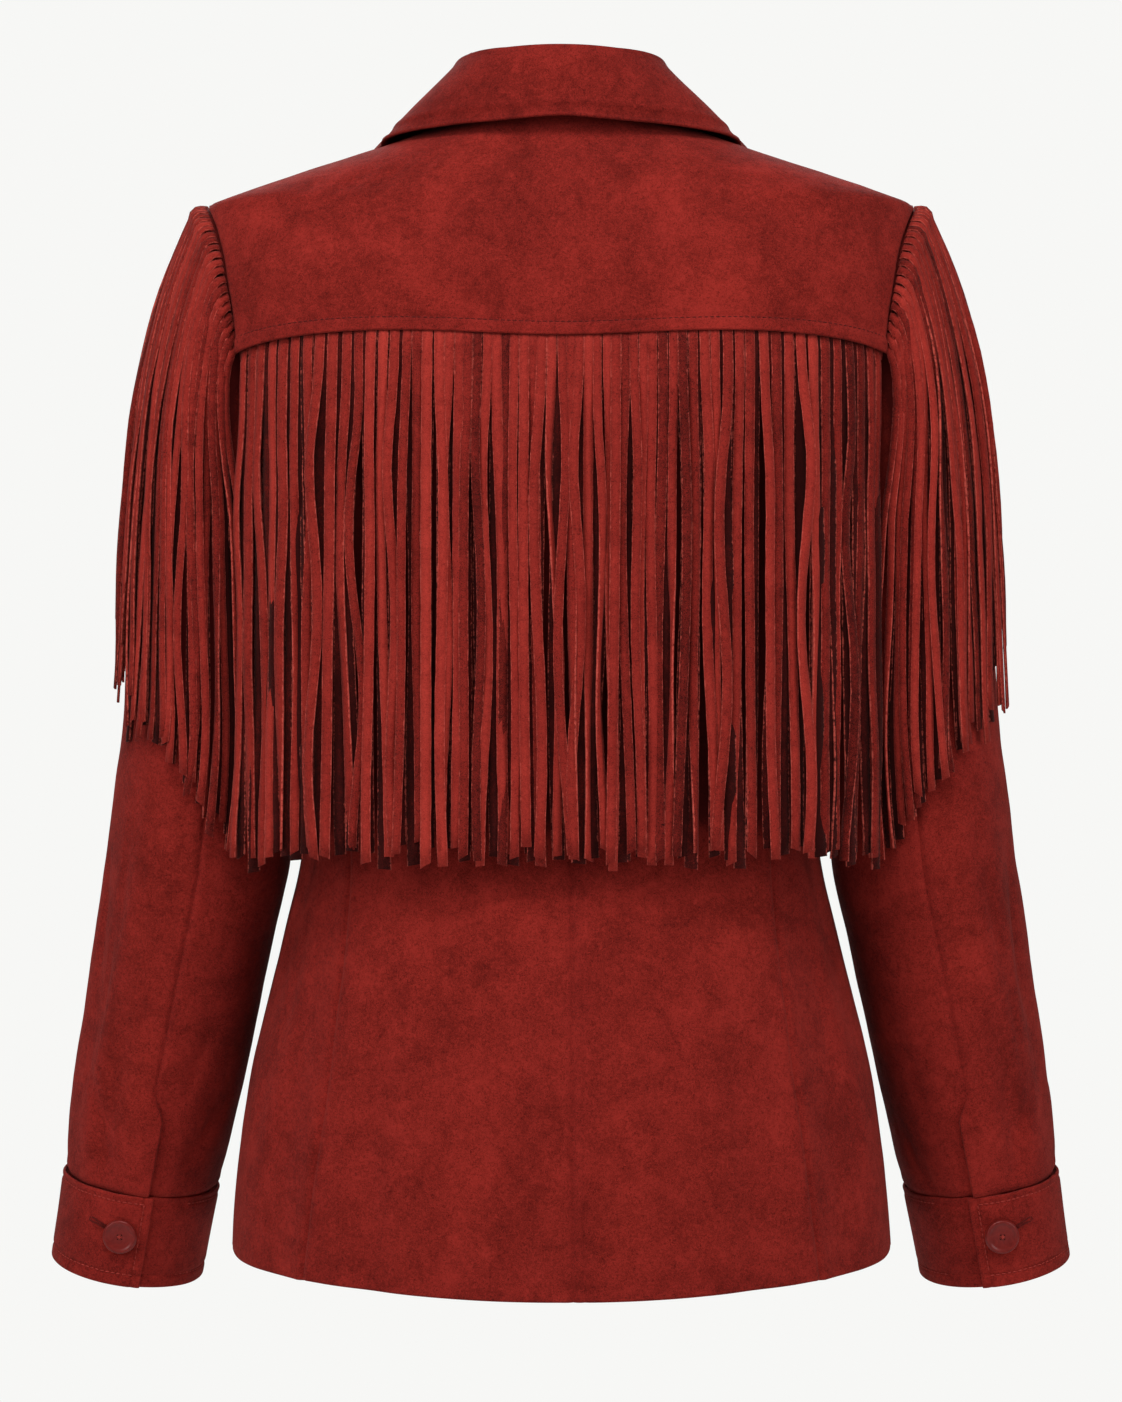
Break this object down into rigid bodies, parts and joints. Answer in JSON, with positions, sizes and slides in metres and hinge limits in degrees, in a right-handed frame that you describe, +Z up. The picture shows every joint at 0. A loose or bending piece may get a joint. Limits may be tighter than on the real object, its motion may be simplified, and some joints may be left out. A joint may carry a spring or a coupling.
{
  "type": "fringe blazer",
  "caption": "Fitted suede blazer with a turned collar, back yoke, long hanging fringe across the back and over the sleeves, and buttoned cuffs.",
  "frame": {"origin": "between the shoulders, level with the foot of the neck, where the wearer holds it", "axes": "+Z up, -Y towards the front, +X towards the wearer's left"},
  "size_m": [0.6018, 0.264, 0.7117],
  "materials": {
    "suede": "napped suede, mottled dark red",
    "fringe_suede": "napped suede, brighter rust red, raw cut edges",
    "buttons": "glossy dark red"
  },
  "bodies": {
    "root": {"back_yoke": "suede", "back_centre_L": "suede", "back_centre_R": "suede", "back_side_L": "suede", "back_side_R": "suede", "front_L": "suede", "front_R": "suede", "lapel_L": "suede", "lapel_R": "suede", "collar": "suede", "upper_sleeve_L": "suede", "upper_sleeve_R": "suede", "under_sleeve_L": "suede", "under_sleeve_R": "suede", "cuff_L": "suede", "cuff_R": "suede", "fringe_back": "fringe_suede", "fringe_sleeve_L": "fringe_suede", "fringe_sleeve_R": "fringe_suede", "cuff_button_L": "buttons", "cuff_button_R": "buttons", "front_button_1": "buttons", "front_button_2": "buttons"}
  },
  "joints": []
}
